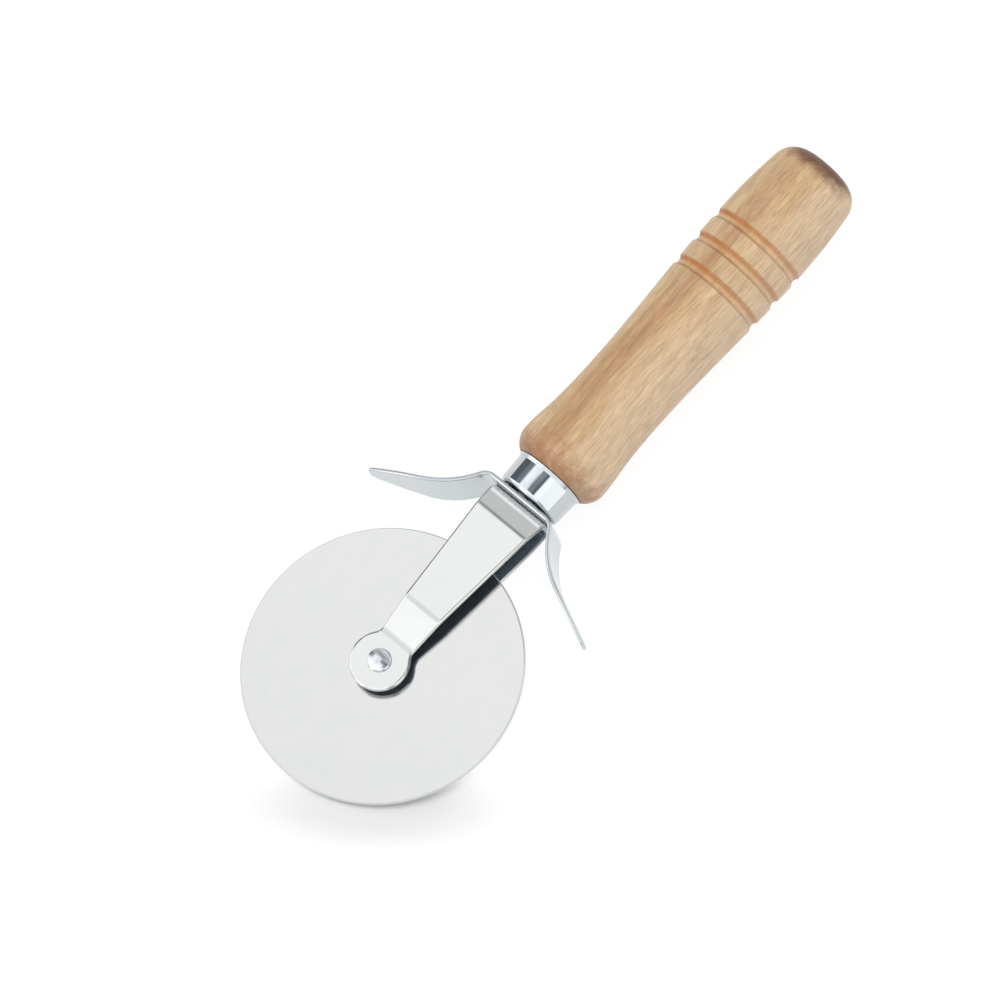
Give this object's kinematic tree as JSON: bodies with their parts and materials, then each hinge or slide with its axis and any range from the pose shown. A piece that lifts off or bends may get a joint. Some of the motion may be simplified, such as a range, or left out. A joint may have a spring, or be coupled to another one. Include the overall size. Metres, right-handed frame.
{
  "type": "pizza cutter",
  "caption": "Pizza cutter: free-spinning steel wheel riveted in a bent strip fork, winged finger guard, bright ferrule and turned wooden handle with grooves.",
  "frame": {"origin": "under the middle of the cutter's box, at the level of the handle's lowest line; the cutter lies on its side", "axes": "+X along the handle towards its butt, +Y along the finger guard, +Z along the wheel's axle towards the rivet's domed head"},
  "size_m": [0.17, 0.061, 0.022],
  "materials": {
    "turned_wood": "turned and sanded, thin satin lacquer, grooves toned darker",
    "chromed_ferrule": "drawn cup, mirror bright",
    "polished_strip": "stainless strip, polished, edges broken",
    "satin_wheel_steel": "rolled stainless sheet, satin, bevelled edge",
    "bright_rivet": "cold-headed dome, bright",
    "plain_steel": "plain zinc-bright steel"
  },
  "bodies": {
    "holder": {"handle": "turned_wood", "ferrule": "chromed_ferrule", "finger_guard": "polished_strip", "fork": "polished_strip", "handle_screw": "plain_steel", "axle_rivet": "bright_rivet", "axle_bush": "plain_steel", "front_washer": "plain_steel", "rear_washer": "plain_steel"},
    "wheel": {"blade_wheel": "satin_wheel_steel"}
  },
  "joints": [
    {"name": "wheel_spin", "type": "hinge", "parent": "holder", "child": "wheel", "pos_m": [-0.055, 0, 0.011], "axis": [0, 0, 1], "continuous": true}
  ]
}
